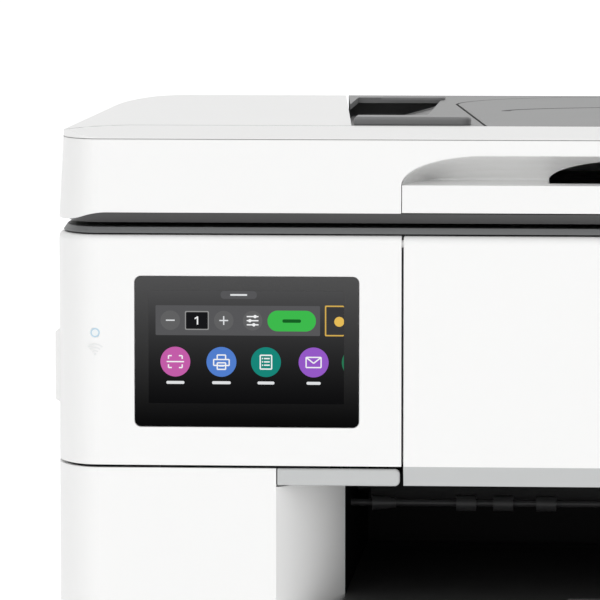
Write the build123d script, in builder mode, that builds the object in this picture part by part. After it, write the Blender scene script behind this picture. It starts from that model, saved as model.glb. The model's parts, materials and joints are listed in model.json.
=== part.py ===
"""Wide-format inkjet all-in-one printer with a document feeder lid and two paper drawers.

Millimetres. The origin is at the bottom centre, the front faces -Y and +Z is up.
"""
import os

from build123d import *

# ---- overall sizes, from half the width of the widest sheet and the room beside it ----
paper_half = 148.5
side_room = 141.5
body_width = 2 * (paper_half + side_room)
body_depth = 407.0
rear_shelf = 46.0
wall = 3.0
seam = 0.8
fit = 0.4
running = 0.05

# ---- heights of the stack ----
foot_top = 6.0
cabinet_top = 68.0
case_low = cabinet_top + 0.5
tub_floor = 2.0
tray_zone_top = 136.0
bay_floor = tray_zone_top + 4.0
door_low = 208.4
panel_low = 218.0
chin_top = panel_low - 1.4
case_top = 329.5
bed_low = case_top + seam
bed_top = bed_low + 2.8
trim_low = bed_top + 2.3
lid_side_low = trim_low + 0.9
lid_front_low = lid_side_low + 4.1
lid_top = lid_front_low + 40.6
cover_low = lid_top - 14.2
lid_edge_top = lid_top - 4.6
lid_shoulder = lid_top - 8.0
guide_tops = {"front": lid_top + 4.0, "rear": lid_top + 1.6}

# ---- plan corners ----
corner_x, corner_y = 23.0, 40.0
lid_back_x, lid_back_y = 22.0, 65.0
case_back_x, case_back_y = 14.0, 14.0
lid_draft = 2.55
relief_depth = 34.0
top_round = 3.0

half = body_width / 2
front = -body_depth / 2
back = body_depth / 2
lid_back = back - rear_shelf
front_block = front + 43.5
band = front + 32.0
cover_back = back - 43.0

# ---- front features ----
bay_half = paper_half + 2.0
bay_mouth = bay_half + 30.5
panel_right = -bay_mouth + 60.5
door_left = panel_right + 1.0
door_right = half - 27.0
door_wall = 3.0
lip_slant = 3.2
edge_round = 0.7
door_pin_y, door_pin_z = front + 4.0, case_top - 4.0
cheek_depth = 50.0
chin_right = panel_right - 0.7
glass_x = (panel_right - 128.9, panel_right - 20.5)
glass_z = (panel_low + 18.8, panel_low + 91.6)
glass_thick = 1.2
glass_gap = 0.3
glass_round = 3.0
display_x = (glass_x[0] + 6.7, glass_x[1] - 7.2)
display_z = (glass_z[0] + 11.3, glass_z[1] - 6.9)
light_x, light_z, light_r = glass_x[0] - 19.3, glass_z[1] - 27.5, 2.3
button_x, button_z, button_r = -half + 40.0, 132.0, 7.0
pad_z = (panel_low + 26.5, panel_low + 63.2)
pad_y = (front + 33.0, back - 60.0)
pad_proud = 2.0

# ---- drawers ----
guide_rest = paper_half + 1.5
drawer_half = guide_rest + 30.3
drawer_slot = drawer_half + 1.7
drawer_depth = 340.0
drawer_wall = 2.5
drawer_back_height = 25.0
guide_height = 26.0
pick_r, pick_y = 12.0, front + 303.5

# ---- print engine ----
engine_half = half - 28.0
rod_y, rod_z, rod_r = front + 183.5, 262.0, 5.0
engine_back = rod_y + 82.0
cartridge_widths = {"black": 34.0, "cyan": 22.0, "magenta": 22.0, "yellow": 22.0}
cartridge_gap = 4.0
carriage_width = sum(cartridge_widths.values()) + cartridge_gap * (len(cartridge_widths) + 1)
carriage_x = half - 45.0 - carriage_width / 2
carriage_y = (rod_y - 80.0, rod_y + 20.0)
carriage_z = (222.0, 290.0)
cartridge_z = (230.0, 284.0)
cartridge_back = rod_y - 22.0
belt_y = (rod_y + 28.0, rod_y + 34.0)
belt_z, belt_half, belt_thick = rod_z + 10.0, half - 46.0, 1.2
pulley_r = 6.0
gear_module = 1.0
big_teeth, small_teeth = 40, 24
gear_step = gear_module * (big_teeth + small_teeth) / 2
output_y, roller_z = front + 100.0, bay_floor + 48.3
transfer_y = output_y + gear_step
feed_y = transfer_y + gear_step
shaft_r, feed_r, output_r = 1.8, 8.0, 4.0
gear_x = (-bay_half - wall - 7.0, -bay_half - wall - 2.0)

# ---- scanner ----
basin_half = half - 68.0
basin_y = (front + 45.5, lid_back - 7.5)
basin_low = bed_low - 33.3
basin_wall = 2.5
glass_half = basin_half - 4.0
glass_ledge = 4.0
scan_rod_z, scan_rod_r = basin_low + 8.0, 3.0
scan_width = 30.0

# ---- lid ----
pivot_y, pivot_z, pivot_r = lid_back + 14.5, lid_front_low + 4.6, 3.0
ear_r, arm_half, ear_wall = 7.0, 5.0, 7.0
hinge_x = half - 90.0
arch_half, arch_floor, arch_top = 120.7, lid_front_low + 13.5, lid_front_low + 27.9
arch_round_x, arch_round_z = 40.4, arch_top - arch_floor
scoop_depth, scoop_floor_rise = 26.0, 1.2
outlet_window = (50.4, 11.0)
tray_right = half - 28.0
throat_x = (-half + 130.0, -half + 176.0)
throat_y = (front + 60.0, lid_back - 28.0)
throat_floor = lid_top - 10.0
flap_thick = 3.0
flap_gap = 1.4

os.makedirs("parts", exist_ok=True)


def save(builder, label):
    """Label a finished piece and write it to its own file."""
    builder.part.label = label
    export_step(builder.part, f"parts/{label}.step")


def block(x, y, z, mode=Mode.ADD):
    """Box between two values on each axis, in the part being built."""
    with Locations((sum(x) / 2, sum(y) / 2, sum(z) / 2)):
        Box(x[1] - x[0], y[1] - y[0], z[1] - z[0], mode=mode)


def rod(radius, x, y, z, mode=Mode.ADD):
    """Round bar along X."""
    with Locations((sum(x) / 2, y, z)):
        Cylinder(radius, x[1] - x[0], rotation=(0, 90, 0), mode=mode)


def spindle(radius, x, y, z, mode=Mode.ADD):
    """Round bar along Y."""
    with Locations((x, sum(y) / 2, z)):
        Cylinder(radius, y[1] - y[0], rotation=(90, 0, 0), mode=mode)


def outline(inset, back_edge, back_x, back_y):
    """Plan outline with quarter-ellipse corners, set in from the outside by inset."""
    side, near, far = half - inset, front + inset, back_edge - inset
    ax, ay = corner_x - inset, corner_y - inset
    bx, by = back_x - inset, back_y - inset
    with BuildSketch() as plan:
        with BuildLine():
            Line((-side + ax, near), (side - ax, near))
            EllipticalCenterArc((side - ax, near + ay), ax, ay, 270, arc_size=90)
            Line((side, near + ay), (side, far - by))
            EllipticalCenterArc((side - bx, far - by), bx, by, 0, arc_size=90)
            Line((side - bx, far), (-side + bx, far))
            EllipticalCenterArc((-side + bx, far - by), bx, by, 90, arc_size=90)
            Line((-side, far - by), (-side, near + ay))
            EllipticalCenterArc((-side + ax, near + ay), ax, ay, 180, arc_size=90)
        make_face()
    return plan.sketch


def case_outline(inset):
    return outline(inset, back, case_back_x, case_back_y)


def lid_outline(inset):
    return outline(inset, lid_back, lid_back_x, lid_back_y)


# ---- the whole casing as one skin, which the covers divide ----
with BuildPart() as casing:
    with BuildSketch(Plane.XY.offset(case_low)):
        add(case_outline(0))
    extrude(amount=case_top - case_low)
    fillet(casing.faces().sort_by(Axis.Z)[-1].edges(), top_round)
    with BuildSketch(Plane.XY.offset(case_low - 1)):
        add(case_outline(wall))
    extrude(amount=case_top - wall - case_low + 1, mode=Mode.SUBTRACT)

# ---- the whole lid as one skin ----
with BuildPart() as lid_solid:
    with BuildSketch(Plane.XY.offset(lid_side_low)):
        add(lid_outline(0))
    with BuildSketch(Plane.XY.offset(lid_top)):
        add(lid_outline(lid_draft))
    loft(ruled=True)
    with BuildSketch(Plane.YZ.offset(-half - 10)):
        with BuildLine():
            Polyline((front - 5, lid_edge_top - 1.2), (front - 5, lid_top + 5), (band, lid_top + 5),
                     (band, lid_top))
            ThreePointArc((band, lid_top), (front + 14, lid_edge_top + 3.1),
                          (front + 1.5, lid_edge_top - 0.4))
            Line((front + 1.5, lid_edge_top - 0.4), (front - 5, lid_edge_top - 1.2))
        make_face()
    extrude(amount=body_width + 20, mode=Mode.SUBTRACT)
    with BuildSketch(Plane.XZ.offset(-back - 10)):
        for side in (-1, 1):
            with BuildLine():
                outer, inner = side * (half + 5), side * (half - 35)
                Polyline((outer, lid_top - 3.4), (outer, lid_top + 5), (inner, lid_top + 5), (inner, lid_top))
                ThreePointArc((inner, lid_top), (side * (half - 14), lid_top - 1.0), (outer, lid_top - 3.4))
            make_face()
    extrude(amount=body_depth + 20, mode=Mode.SUBTRACT)

with BuildPart() as lid_skin:
    add(lid_solid.part)
    with BuildSketch(Plane.XY.offset(lid_side_low - 1)):
        add(lid_outline(lid_draft + wall))
    extrude(amount=lid_shoulder - lid_side_low + 1, mode=Mode.SUBTRACT)
    block((-half + 20, half - 20), (front + 24, lid_back - 8), (lid_shoulder - 1, lid_top - wall),
          Mode.SUBTRACT)

# ======== base and covers ========
with BuildPart() as base_cabinet:
    with BuildSketch(Plane.XY.offset(foot_top)):
        add(case_outline(0))
    extrude(amount=cabinet_top - foot_top)
    with BuildSketch(Plane.XY.offset(foot_top + tub_floor)):
        add(case_outline(wall))
    extrude(amount=cabinet_top - foot_top, mode=Mode.SUBTRACT)
    for side in (-1, 1):
        inner, outer = sorted((side * drawer_slot, side * (drawer_slot + wall)))
        block((inner, outer), (front + 1, cover_back), (foot_top + 1, cabinet_top))
    block((-drawer_slot, drawer_slot), (front - 1, front + wall + 2),
          (foot_top + tub_floor, cabinet_top + 1), Mode.SUBTRACT)
save(base_cabinet, "base_cabinet")

with BuildPart() as rubber_feet:
    with Locations((0, 0, foot_top / 2)):
        with GridLocations(body_width - 80, body_depth - 80, 2, 2):
            Cylinder(12, foot_top)
save(rubber_feet, "rubber_feet")

with BuildPart() as chassis_tub:
    block((-half + wall + fit, half - wall - fit), (front + wall + 38, cover_back - 1),
          (case_low, case_low + tub_floor))
    block((-drawer_slot - wall, drawer_slot + wall), (front + 6, front + wall + 40),
          (case_low, case_low + tub_floor))
    for side in (-1, 1):
        inner, outer = sorted((side * drawer_slot, side * (drawer_slot + wall)))
        block((inner, outer), (front + 6, cover_back - 1), (case_low, bay_floor))
        inner, outer = sorted((side * bay_half, side * (bay_half + wall)))
        block((inner, outer), (front + cheek_depth + 1, engine_back - 2), (bay_floor - 1, door_low - 1))
    block((-drawer_slot - 1, drawer_slot + 1), (front + 6, cover_back - 1), (bay_floor - wall, bay_floor))
    block((-bay_half - 1, bay_half + 1), (engine_back - 5, engine_back - 2), (bay_floor - 1, door_low - 1))
    for y in (output_y, feed_y):
        rod(shaft_r + running, (-bay_half - wall - 1, bay_half + wall + 1), y, roller_z, Mode.SUBTRACT)
    rod(3 + running, (-bay_half - wall - 1, -bay_half + 1), transfer_y, roller_z, Mode.SUBTRACT)
save(chassis_tub, "chassis_tub")


def lower_case(side, top):
    """Front lower corner of the casing, with the curved cheek that leads into the output bay."""
    with BuildPart() as case:
        add(casing.part)
        edge = sorted((side * bay_mouth, side * (half + 10)))
        block(edge, (front - 10, front_block), (case_low, top), Mode.INTERSECT)
        inner = sorted((side * drawer_slot, side * (drawer_slot + wall)))
        block(inner, (front + 1, front + 5.5), (case_low, bay_floor - wall - fit))
        with BuildSketch(Plane.XY.offset(bay_floor + fit)):
            with BuildLine():
                Line((side * bay_mouth, front), (side * (bay_mouth + wall), front))
                Line((side * (bay_mouth + wall), front), (side * (bay_mouth + wall), front + 4))
                ThreePointArc((side * (bay_mouth + wall), front + 4),
                              (side * (bay_half + 15), front + cheek_depth / 2 + 2.0),
                              (side * (bay_half + wall), front + cheek_depth))
                Line((side * (bay_half + wall), front + cheek_depth), (side * bay_half, front + cheek_depth))
                ThreePointArc((side * bay_half, front + cheek_depth),
                              (side * (bay_half + 12.3), front + cheek_depth / 2), (side * bay_mouth, front))
            make_face()
        extrude(amount=min(top, door_low - seam) - bay_floor - fit)
        if side < 0:
            spindle(button_r + fit, button_x, (front - 1, front + 5), button_z, Mode.SUBTRACT)
    return case


left_lower_case = lower_case(-1, chin_top)
save(left_lower_case, "left_lower_case")
right_lower_case = lower_case(1, door_low - seam)
save(right_lower_case, "right_lower_case")

with BuildPart() as panel_chin:
    block((-bay_mouth + 0.6, chin_right), (front + 0.2, front + 3), (door_low, chin_top))
    right_edges = panel_chin.edges().filter_by(Axis.Y).group_by(Axis.X)[-1]
    fillet(right_edges, 2.5)
    fillet(panel_chin.edges().filter_by(Axis.X).group_by(Axis.Z)[-1].sort_by(Axis.Y)[0], 1.2)
save(panel_chin, "panel_chin")


def side_pad(side, near, far):
    """Shallow raised pad of a side wall, cut to the stretch that one cover carries."""
    with BuildPart(mode=Mode.PRIVATE) as pad:
        with BuildSketch(Plane.YZ.offset(side * (half - 1))):
            with Locations(((pad_y[0] + pad_y[1]) / 2, sum(pad_z) / 2)):
                Rectangle(pad_y[1] - pad_y[0], pad_z[1] - pad_z[0])
        extrude(amount=side * (1 + pad_proud), taper=30)
        block(sorted((side * (half - 2), side * (half + 5))), (near, far), (pad_z[0] - 5, pad_z[1] + 5),
              Mode.INTERSECT)
    return pad.part


with BuildPart() as control_panel_housing:
    add(casing.part)
    block((-half - 10, panel_right), (front - 10, front_block), (panel_low, case_top + 1), Mode.INTERSECT)
    block((panel_right - wall, panel_right), (front + 1.5, front_block), (panel_low, case_top - 1.5))
    block((-half + 30, panel_right), (front + 1, front + 20), (panel_low, panel_low + 2))
    with BuildSketch(Plane.XZ.offset(-front + 1)):
        with Locations((sum(glass_x) / 2, sum(glass_z) / 2)):
            RectangleRounded(glass_x[1] - glass_x[0] + 2 * glass_gap, glass_z[1] - glass_z[0] + 2 * glass_gap,
                             glass_round + glass_gap)
    extrude(amount=-1 - glass_thick - 0.2, mode=Mode.SUBTRACT)
    block((display_x[0] - fit, display_x[1] + fit), (front - 1, front + 5),
          (display_z[0] - fit, display_z[1] + fit), Mode.SUBTRACT)
    spindle(light_r + 0.15, light_x, (front - 1, front + 5), light_z, Mode.SUBTRACT)
    add(side_pad(-1, pad_y[0], front_block))
    rod(2 + running, (panel_right - wall - 1, panel_right + 1), door_pin_y, door_pin_z, Mode.SUBTRACT)
save(control_panel_housing, "control_panel_housing")

with BuildPart() as touch_glass:
    block(glass_x, (front, front + glass_thick), glass_z)
    fillet(touch_glass.edges().filter_by(Axis.Y), glass_round)
save(touch_glass, "touch_glass")

with BuildPart() as display_module:
    block(display_x, (front + glass_thick + 0.1, front + 12), display_z)
save(display_module, "display_module")

with BuildPart() as status_light:
    spindle(light_r, light_x, (front, front + 6), light_z)
save(status_light, "status_light")


def side_cover(side):
    """Side wall with a shallow raised pad; the right one also closes the front corner by the door."""
    with BuildPart() as cover:
        add(casing.part)
        reach = sorted((side * (half - 26), side * (half + 10)))
        with BuildPart(mode=Mode.PRIVATE) as region:
            block(reach, (front_block + 0.5, cover_back), (case_low, case_top + 1))
            if side > 0:
                block((door_right + seam, half + 10), (front - 10, front_block + 1),
                      (door_low, case_top + 1))
        add(region.part, mode=Mode.INTERSECT)
        if side > 0:
            block((door_right + seam, door_right + seam + wall), (front + 1.5, front_block),
                  (door_low, case_top - 1.5))
            rod(2 + running, (door_right - 1, door_right + seam + wall + 1), door_pin_y, door_pin_z,
                Mode.SUBTRACT)
        add(side_pad(side, front_block + 0.5, cover_back))
    return cover


left_side_cover = side_cover(-1)
save(left_side_cover, "left_side_cover")
right_side_cover = side_cover(1)
save(right_side_cover, "right_side_cover")

access_x, access_z = 150.0, (150.0, 235.0)
inlet_x, inlet_z = half - 60.0, 110.0
signal_x = [-half + 54, -half + 76, -half + 98]
with BuildPart() as rear_cover:
    add(casing.part)
    block((-half - 10, half + 10), (cover_back + 0.5, back + 10), (case_low, case_top + 1), Mode.INTERSECT)
    block((-access_x, access_x), (back - 10, back + 1), access_z, Mode.SUBTRACT)
    block((inlet_x - 14, inlet_x + 14), (back - 10, back + 1), (inlet_z - 10, inlet_z + 10), Mode.SUBTRACT)
    for x in signal_x:
        block((x - 7, x + 7), (back - 10, back + 1), (inlet_z - 7, inlet_z + 7), Mode.SUBTRACT)
save(rear_cover, "rear_cover")

with BuildPart() as rear_access_cover:
    block((-access_x + fit, access_x - fit), (back - wall, back), (access_z[0] + fit, access_z[1] - fit))
    fillet(rear_access_cover.edges().filter_by(Axis.X).group_by(Axis.Z)[0].sort_by(Axis.Y)[-1], 1.4)
    block((-30, 30), (back - 1.2, back + 1), (access_z[1] - 14, access_z[1] - 6), Mode.SUBTRACT)
save(rear_access_cover, "rear_access_cover")

with BuildPart() as rear_sockets:
    block((inlet_x - 13.6, inlet_x + 13.6), (back - 22, back - 0.5), (inlet_z - 9.6, inlet_z + 9.6))
    block((inlet_x - 11, inlet_x + 11), (back - 18, back + 1), (inlet_z - 7, inlet_z + 7), Mode.SUBTRACT)
    for x in (-4, 4):
        spindle(1.2, inlet_x + x, (back - 19, back - 6), inlet_z)
    for x in signal_x:
        block((x - 6.6, x + 6.6), (back - 16, back - 0.5), (inlet_z - 6.6, inlet_z + 6.6))
        block((x - 5, x + 5), (back - 13, back + 1), (inlet_z - 5, inlet_z + 5), Mode.SUBTRACT)
save(rear_sockets, "rear_sockets")

# ======== front door and button ========
with BuildPart() as front_door:
    with BuildSketch(Plane.YZ.offset(door_left)):
        with BuildLine():
            Line((front, door_pin_z), (front, panel_low))
            Line((front, panel_low), (front + door_wall, panel_low))
            Line((front + door_wall, panel_low), (front + door_wall, door_pin_z - 4))
            Line((front + door_wall, door_pin_z - 4), (front + 8, door_pin_z))
            ThreePointArc((front + 8, door_pin_z), (door_pin_y, case_top), (front, door_pin_z))
        make_face()
    extrude(amount=door_right - door_left)
    rod(2, (panel_right - wall + 0.5, door_right + seam + wall - 0.5), door_pin_y, door_pin_z)
    fillet(front_door.edges().filter_by(Axis.Z).group_by(Axis.Y)[0], edge_round)
save(front_door, "front_door")

with BuildPart() as door_lip:
    with BuildSketch(Plane.YZ.offset(door_left)):
        Polygon((front, panel_low), (front + lip_slant, door_low), (front + lip_slant + 2.5, door_low),
                (front + door_wall, panel_low), align=None)
    extrude(amount=door_right - door_left)
save(door_lip, "door_lip")

with BuildPart() as power_button:
    spindle(button_r, button_x, (front, front + 5), button_z)
    fillet(power_button.edges().sort_by(Axis.Y)[0], 0.8)
    spindle(button_r + 2, button_x, (front + 5, front + 7), button_z)
save(power_button, "power_button")

# ======== output bay ========
with BuildPart() as output_tray:
    block((-bay_half + fit, bay_half - fit), (front + 8, engine_back - 22), (bay_floor + 1, bay_floor + 9))
    fillet(output_tray.edges().filter_by(Axis.X).group_by(Axis.Z)[-1].sort_by(Axis.Y)[0], 3)
    block((-90 - fit, 90 + fit), (front, front + 150), (bay_floor + 3.0, bay_floor + 7.0), Mode.SUBTRACT)
save(output_tray, "output_tray")

with BuildPart() as tray_extender:
    block((-90, 90), (front + 4, front + 148), (bay_floor + 3.3, bay_floor + 6.7))
    block((-40, 40), (front + 2, front + 6), (bay_floor + 3.3, bay_floor + 14))
save(tray_extender, "tray_extender")

# ======== paper drawers ========

def drawer(low, high):
    """Open-topped drawer with a full-height front and a low back wall."""
    side = drawer_slot - 3.0
    rear = front + drawer_depth
    with BuildPart() as box:
        block((-drawer_half, drawer_half), (front, front + 4), (low, high))
        fillet(box.edges().filter_by(Axis.X).group_by(Axis.Z)[-1].sort_by(Axis.Y)[0], 1.5)
        block((-side, side), (front + 3, rear), (low + 1, low + 1 + drawer_wall))
        for x in (-side, side - drawer_wall):
            block((x, x + drawer_wall), (front + 3, rear), (low + 1, low + 42))
        block((-side, side), (rear - drawer_wall, rear), (low + 1, low + 1 + drawer_back_height))
        block((-60, 60), (front - 1, front + 1.6), (low - 1, low + 14), Mode.SUBTRACT)
    return box


def drawer_guide(side, low):
    """Paper side guide, an upright plate on a foot that slides on the drawer floor."""
    floor = low + 1 + drawer_wall + 0.3
    upright = sorted((side * guide_rest, side * (guide_rest + 2.5)))
    foot = sorted((side * (guide_rest - 3), side * (guide_rest + 18)))
    with BuildPart() as guide:
        block(upright, (front + 93.5, front + 243.5), (floor, floor + guide_height))
        block(foot, (front + 123.5, front + 213.5), (floor, floor + 2.5))
    return guide


drawer_levels = {"upper": (case_low + tub_floor + 1.5, tray_zone_top),
                 "lower": (foot_top + tub_floor + 0.8, cabinet_top - 2.0)}
for level, (low, high) in drawer_levels.items():
    save(drawer(low, high), f"{level}_drawer")
    save(drawer_guide(-1, low), f"{level}_guide_left")
    save(drawer_guide(1, low), f"{level}_guide_right")
    with BuildPart() as pick_roller:
        rod(pick_r, (-28, 28), pick_y, high - pick_r - 1)
        rod(3, (-36, 36), pick_y, high - pick_r - 1)
    save(pick_roller, f"{level}_pick_roller")

# ======== print engine ========
platen_low = 212.0
with BuildPart() as engine_frame:
    block((-engine_half, engine_half), (engine_back, engine_back + 3), (bay_floor + 5, rod_z + 30))
    for side in (-1, 1):
        ends = sorted((side * (engine_half - 4), side * engine_half))
        block(ends, (rod_y - 40, engine_back + 2), (platen_low, rod_z + 30))
        rod(rod_r, ends, rod_y, rod_z, Mode.SUBTRACT)
    block((-engine_half, engine_half), (rod_y + 40, engine_back + 2), (platen_low - 3.5, platen_low - 0.5))
save(engine_frame, "engine_frame")

with BuildPart() as carriage_rod:
    rod(rod_r, (-engine_half + 1, engine_half - 1), rod_y, rod_z)
save(carriage_rod, "carriage_rod")

with BuildPart() as print_platen:
    block((-half + 50, half - 50), (rod_y - 76, rod_y + 30), (platen_low, platen_low + 4))
save(print_platen, "print_platen")

cartridge_left = {}
edge = carriage_x - carriage_width / 2 + cartridge_gap
for name, width in cartridge_widths.items():
    cartridge_left[name] = edge
    edge += width + cartridge_gap

with BuildPart() as ink_carriage:
    block((carriage_x - carriage_width / 2, carriage_x + carriage_width / 2), carriage_y, carriage_z)
    block((carriage_x - 20, carriage_x + 20), (carriage_y[1] - 1, belt_y[0] - 1.0), (belt_z - 12, belt_z - 4))
    for name, left in cartridge_left.items():
        width = cartridge_widths[name]
        block((left - fit, left + width + fit), (carriage_y[0] - 1, cartridge_back + 1),
              (cartridge_z[0] - fit, cartridge_z[1] + fit), Mode.SUBTRACT)
    rod(rod_r + running, (carriage_x - carriage_width, carriage_x + carriage_width), rod_y, rod_z,
        Mode.SUBTRACT)
save(ink_carriage, "ink_carriage")

for name, left in cartridge_left.items():
    with BuildPart() as cartridge:
        block((left, left + cartridge_widths[name]), (carriage_y[0] - 3, cartridge_back), cartridge_z)
        fillet(cartridge.edges().filter_by(Axis.X).group_by(Axis.Y)[0], 1.5)
    save(cartridge, f"cartridge_{name}")

with BuildPart() as drive_belt:
    with BuildSketch(Plane.XZ.offset(-belt_y[1])):
        with Locations((0, belt_z)):
            outer_height = 2 * (pulley_r + 0.2 + belt_thick)
            SlotOverall(2 * belt_half + outer_height, outer_height)
            inner_height = 2 * (pulley_r + 0.2)
            SlotOverall(2 * belt_half + inner_height, inner_height, mode=Mode.SUBTRACT)
    extrude(amount=belt_y[1] - belt_y[0])
save(drive_belt, "drive_belt")

for name, x in (("idler_pulley", -belt_half), ("drive_pulley", belt_half)):
    with BuildPart() as pulley:
        spindle(pulley_r, x, belt_y, belt_z)
        spindle(pulley_r + 2.5, x, (belt_y[0] - 1.5, belt_y[0] - 0.3), belt_z)
        spindle(2.5, x, (belt_y[0] - 4, belt_y[1] + 8), belt_z)
    save(pulley, name)

with BuildPart() as drive_motors:
    spindle(13, belt_half, (belt_y[1] + 9, engine_back - 2), belt_z)
    spindle(16, -half + 100, (engine_back + 4, engine_back + 38), roller_z)
save(drive_motors, "drive_motors")

with BuildPart() as circuit_boards:
    board_y = (back - 83.5, back - 81.9)
    block((-half + 40, -half + 210), board_y, (bay_floor + 10, rod_z + 18))
    block((half - 170, half - 50), board_y, (bay_floor + 10, rod_z - 12))
save(circuit_boards, "circuit_boards")


def gear(teeth, y, z, phase):
    """Spur gear on the left of the bay, with short teeth that leave room in the mesh."""
    pitch_r = gear_module * teeth / 2
    root, tip = pitch_r - 1.1 * gear_module, pitch_r + 0.75 * gear_module
    with BuildPart(mode=Mode.PRIVATE) as wheel:
        with BuildSketch(Plane.YZ.offset(gear_x[0])):
            with Locations((y, z)):
                Circle(root)
                with PolarLocations(0, teeth, start_angle=phase):
                    Polygon((root - 0.5, -0.85), (tip, -0.35), (tip, 0.35), (root - 0.5, 0.85), align=None)
        extrude(amount=gear_x[1] - gear_x[0])
    return wheel.part


with BuildPart() as feed_roller:
    rod(shaft_r, (gear_x[0], bay_half + wall + 3), feed_y, roller_z)
    rod(feed_r, (-bay_half + 7, bay_half - 7), feed_y, roller_z)
    add(gear(big_teeth, feed_y, roller_z, 0))
save(feed_roller, "feed_roller")

with BuildPart() as transfer_gear:
    add(gear(small_teeth, transfer_y, roller_z, 7.5))
    rod(3, (gear_x[0] - 1, -bay_half - 0.5), transfer_y, roller_z)
save(transfer_gear, "transfer_gear")

with BuildPart() as output_roller:
    rod(shaft_r, (gear_x[0], bay_half + wall + 3), output_y, roller_z)
    add(gear(big_teeth, output_y, roller_z, 0))
    for x in (52.4, 74.0, 92.5):
        for side in (-1, 1):
            rod(output_r, (side * x - 5, side * x + 5), output_y, roller_z)
    for side in (-1, 1):
        with BuildSketch(Plane.YZ.offset(side * 127.9)):
            with Locations((output_y, roller_z)):
                Circle(shaft_r + 0.7)
        with BuildSketch(Plane.YZ.offset(side * 139.7)):
            with Locations((output_y, roller_z)):
                Circle(output_r)
        loft()
save(output_roller, "output_roller")

# ======== scanner ========
with BuildPart() as scanner_bed:
    with BuildSketch(Plane.XY.offset(bed_low)):
        add(outline(2.2, lid_back, lid_back_x, lid_back_y))
    with BuildSketch(Plane.XY.offset(bed_top)):
        add(outline(4.2, lid_back, lid_back_x, lid_back_y))
    loft(ruled=True)
    block((-basin_half, basin_half), basin_y, (basin_low, bed_low + 0.5))
    opening = basin_half - basin_wall - glass_ledge
    block((-basin_half + basin_wall, basin_half - basin_wall),
          (basin_y[0] + basin_wall, basin_y[1] - basin_wall), (basin_low + 2, bed_low), Mode.SUBTRACT)
    block((-opening, opening), (basin_y[0] + basin_wall + glass_ledge, basin_y[1] - basin_wall - glass_ledge),
          (bed_low - 1, bed_top + 1), Mode.SUBTRACT)
    block((-glass_half - 0.2, glass_half + 0.2), (basin_y[0] + 3.8, basin_y[1] - 3.8),
          (bed_top - 2.0, bed_top + 1), Mode.SUBTRACT)
    for side in (-1, 1):
        x = side * hinge_x
        block((x - 16, x + 16), (lid_back - 8, pivot_y + 10), (bed_low, bed_top - 0.4))
        for ear in (-1, 1):
            inner = x + ear * (arm_half + 0.3)
            span = sorted((inner, inner + ear * ear_wall))
            rod(ear_r, span, pivot_y, pivot_z)
            block(span, (pivot_y - ear_r, pivot_y + ear_r), (bed_low, pivot_z))
        rod(pivot_r + running, (x - 20, x + 20), pivot_y, pivot_z, Mode.SUBTRACT)
    rod(scan_rod_r, (-basin_half + 1, basin_half - 1), 0, scan_rod_z)
save(scanner_bed, "scanner_bed")

with BuildPart() as scanner_glass:
    block((-glass_half, glass_half), (basin_y[0] + 4, basin_y[1] - 4), (bed_top - 1.9, bed_top))
save(scanner_glass, "scanner_glass")

scan_rest = -basin_half + basin_wall + 3 + scan_width / 2
with BuildPart() as scan_carriage:
    block((scan_rest - scan_width / 2, scan_rest + scan_width / 2), (basin_y[0] + 6, basin_y[1] - 6),
          (basin_low + 12, basin_low + 28))
    block((scan_rest - 10, scan_rest + 10), (-8, 8), (basin_low + 3, basin_low + 13))
    rod(scan_rod_r + running, (scan_rest - 20, scan_rest + 20), 0, scan_rod_z, Mode.SUBTRACT)
save(scan_carriage, "scan_carriage")

# ======== lid ========

def arch(half_width, low, high):
    """Arched mouth of the document outlet, flat on top with quarter-ellipse ends."""
    flat = half_width - arch_round_x
    with BuildSketch() as mouth:
        with BuildLine():
            Line((-half_width, low), (half_width, low))
            EllipticalCenterArc((flat, low), arch_round_x, high - low, 0, arc_size=90)
            Line((flat, high), (-flat, high))
            EllipticalCenterArc((-flat, low), arch_round_x, high - low, 90, arc_size=90)
        make_face()
    return mouth.sketch


with BuildPart() as scoop_hollow:
    for share in (-0.02, 0.0, 0.3, 0.55, 0.75, 0.9, 0.98):
        with BuildSketch(Plane.XZ.offset(-front - scoop_depth * share)):
            add(arch(arch_half - 12 * share ** 2, arch_floor + scoop_floor_rise * share,
                     arch_floor + arch_round_z * (1 - share ** 2) ** 0.5))
    loft(ruled=True)


def under_relief(drop):
    """Region under the lid's front edge, which rises in an S from each corner; drop lowers it."""
    outer, inner = half - 3, half - 27
    low, high = lid_side_low - drop, lid_front_low - drop
    middle = ((outer + inner) / 2, (low + high) / 2)
    with BuildSketch() as region:
        with BuildLine():
            Polyline((-half - 10, low), (-half - 10, low - 20), (half + 10, low - 20), (half + 10, low),
                     (outer, low))
            TangentArc((outer, low), middle, tangent=(-1, 0))
            TangentArc((inner, high), middle, tangent=(1, 0))
            Line((inner, high), (-inner, high))
            TangentArc((-inner, high), (-middle[0], middle[1]), tangent=(-1, 0))
            TangentArc((-outer, low), (-middle[0], middle[1]), tangent=(1, 0))
            Line((-outer, low), (-half - 10, low))
        make_face()
    return region.sketch


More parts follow.
